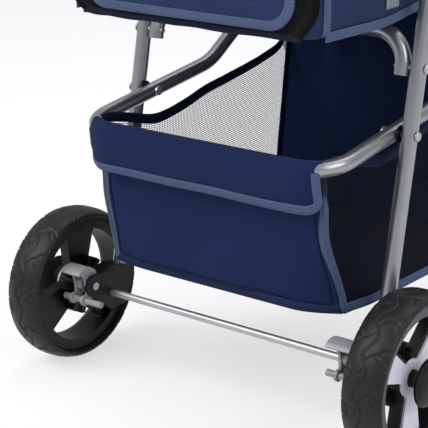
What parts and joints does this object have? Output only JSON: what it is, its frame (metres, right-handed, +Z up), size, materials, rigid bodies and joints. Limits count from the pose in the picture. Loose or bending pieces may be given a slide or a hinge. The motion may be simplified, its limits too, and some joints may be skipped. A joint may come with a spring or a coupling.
{
  "type": "pet stroller",
  "caption": "Folding pet stroller: tube frame with swivel casters and braked back wheels, cloth cabin with turning hood and back door, storage basket under it.",
  "frame": {"origin": "on the floor under the middle of the whole stroller", "axes": "+X to the right of the person pushing, +Y the way it travels, +Z up"},
  "size_m": [0.49, 0.6822, 0.9953],
  "materials": {
    "tube": "satin silver-grey coated steel tube",
    "steel": "plated steel",
    "tyre": "matt black foam tyre",
    "black_plastic": "moulded black plastic",
    "grey_plastic": "moulded mid-grey plastic",
    "silver_plastic": "silver-white plastic",
    "foam": "soft black foam",
    "cloth": "navy woven cloth",
    "mesh": "fine black mesh"
  },
  "bodies": {
    "rear_frame": {"rear_leg_left": "tube", "rear_leg_right": "tube", "leg_fittings": "black_plastic", "rear_arch": "tube", "arch_rivets": "steel", "strut_rivets": "steel", "strut_spacers": "black_plastic", "fold_bolts": "steel", "axle_bracket_left": "black_plastic", "axle_bracket_right": "black_plastic", "brake_pins": "steel", "rear_axle": "steel", "axle_clips": "steel", "cabin_tub": "cloth", "cabin_cushion": "cloth", "canopy": "cloth", "canopy_hoop": "steel", "canopy_pivots": "black_plastic"},
    "front_frame": {"front_leg_left": "tube", "front_leg_right": "tube", "front_arms": "black_plastic", "cross_bar": "tube", "cross_rivets": "steel", "caster_housings": "black_plastic"},
    "handle": {"handle_tube": "tube", "handle_grip": "foam", "handle_arms": "black_plastic"},
    "basket_frame": {"basket_tube": "tube", "strut_hooks": "black_plastic", "basket_floor": "cloth", "basket_back": "cloth", "basket_front": "cloth", "basket_mesh_left": "mesh", "basket_mesh_right": "mesh"},
    "hood": {"hood": "cloth", "hood_hoop": "steel"},
    "back_door": {"back_door": "cloth"},
    "rear_wheel_left": {"rear_tyre_left": "tyre", "rear_rim_left": "black_plastic", "rear_cover_left": "silver_plastic", "rear_cap_left": "black_plastic"},
    "brake_left": {"brake_lever_left": "grey_plastic", "brake_bar_left": "grey_plastic"},
    "caster_left": {"caster_fork_left": "black_plastic", "caster_bolt_left": "steel"},
    "front_wheel_left": {"front_tyre_left": "tyre", "front_rim_left": "black_plastic"},
    "button_left": {"fold_button_left": "grey_plastic"},
    "rear_wheel_right": {"rear_tyre_right": "tyre", "rear_rim_right": "black_plastic", "rear_cover_right": "silver_plastic", "rear_cap_right": "black_plastic"},
    "brake_right": {"brake_lever_right": "grey_plastic", "brake_bar_right": "grey_plastic"},
    "caster_right": {"caster_fork_right": "black_plastic", "caster_bolt_right": "steel"},
    "front_wheel_right": {"front_tyre_right": "tyre", "front_rim_right": "black_plastic"},
    "button_right": {"fold_button_right": "grey_plastic"}
  },
  "joints": [
    {"name": "frame_fold", "type": "hinge", "parent": "rear_frame", "child": "front_frame", "pos_m": [0, -0.07262, 0.64043], "axis": [1, 0, 0], "range_deg": [-28, 0], "deforming": ["basket_floor", "basket_back", "basket_front", "basket_mesh_left", "basket_mesh_right"]},
    {"name": "handle_fold", "type": "hinge", "parent": "rear_frame", "child": "handle", "pos_m": [0, -0.07262, 0.64043], "axis": [1, 0, 0], "range_deg": [-184, 0]},
    {"name": "basket_fold", "type": "hinge", "parent": "rear_frame", "child": "basket_frame", "pos_m": [0, -0.13348, 0.3004], "axis": [1, 0, 0], "range_deg": [0, 33]},
    {"name": "hood_turn", "type": "hinge", "parent": "rear_frame", "child": "hood", "pos_m": [0, 0.01715, 0.59], "axis": [1, 0, 0], "range_deg": [-40, 50]},
    {"name": "door_flap", "type": "hinge", "parent": "rear_frame", "child": "back_door", "pos_m": [0, -0.26345, 0.583], "axis": [1, 0, 0], "range_deg": [-95, 0]},
    {"name": "rear_wheel_left_spin", "type": "hinge", "parent": "rear_frame", "child": "rear_wheel_left", "pos_m": [-0.214, -0.19685, 0.085], "axis": [1, 0, 0], "continuous": true},
    {"name": "brake_left_press", "type": "hinge", "parent": "rear_frame", "child": "brake_left", "pos_m": [-0.17, -0.22485, 0.1], "axis": [1, 0, 0], "range_deg": [0, 20]},
    {"name": "caster_left_swivel", "type": "hinge", "parent": "front_frame", "child": "caster_left", "pos_m": [-0.192, 0.29115, 0.18], "axis": [0, 0, 1], "continuous": true},
    {"name": "front_wheel_left_spin", "type": "hinge", "parent": "caster_left", "child": "front_wheel_left", "pos_m": [-0.192, 0.26615, 0.075], "axis": [1, 0, 0], "continuous": true},
    {"name": "button_left_push", "type": "slide", "parent": "handle", "child": "button_left", "axis": [1, 0, 0], "range_m": [0, 0.0035], "stiffness_N_per_m": 900},
    {"name": "rear_wheel_right_spin", "type": "hinge", "parent": "rear_frame", "child": "rear_wheel_right", "pos_m": [0.214, -0.19685, 0.085], "axis": [1, 0, 0], "continuous": true},
    {"name": "brake_right_press", "type": "hinge", "parent": "rear_frame", "child": "brake_right", "pos_m": [0.17, -0.22485, 0.1], "axis": [1, 0, 0], "range_deg": [0, 20]},
    {"name": "caster_right_swivel", "type": "hinge", "parent": "front_frame", "child": "caster_right", "pos_m": [0.192, 0.29115, 0.18], "axis": [0, 0, 1], "continuous": true},
    {"name": "front_wheel_right_spin", "type": "hinge", "parent": "caster_right", "child": "front_wheel_right", "pos_m": [0.192, 0.26615, 0.075], "axis": [1, 0, 0], "continuous": true},
    {"name": "button_right_push", "type": "slide", "parent": "handle", "child": "button_right", "axis": [-1, 0, 0], "range_m": [0, 0.0035], "stiffness_N_per_m": 900}
  ],
  "couplings": [
    {"joint": "handle_fold", "follows": "frame_fold", "ratio": 6.5714},
    {"joint": "basket_fold", "follows": "frame_fold", "ratio": -1.1786}
  ]
}
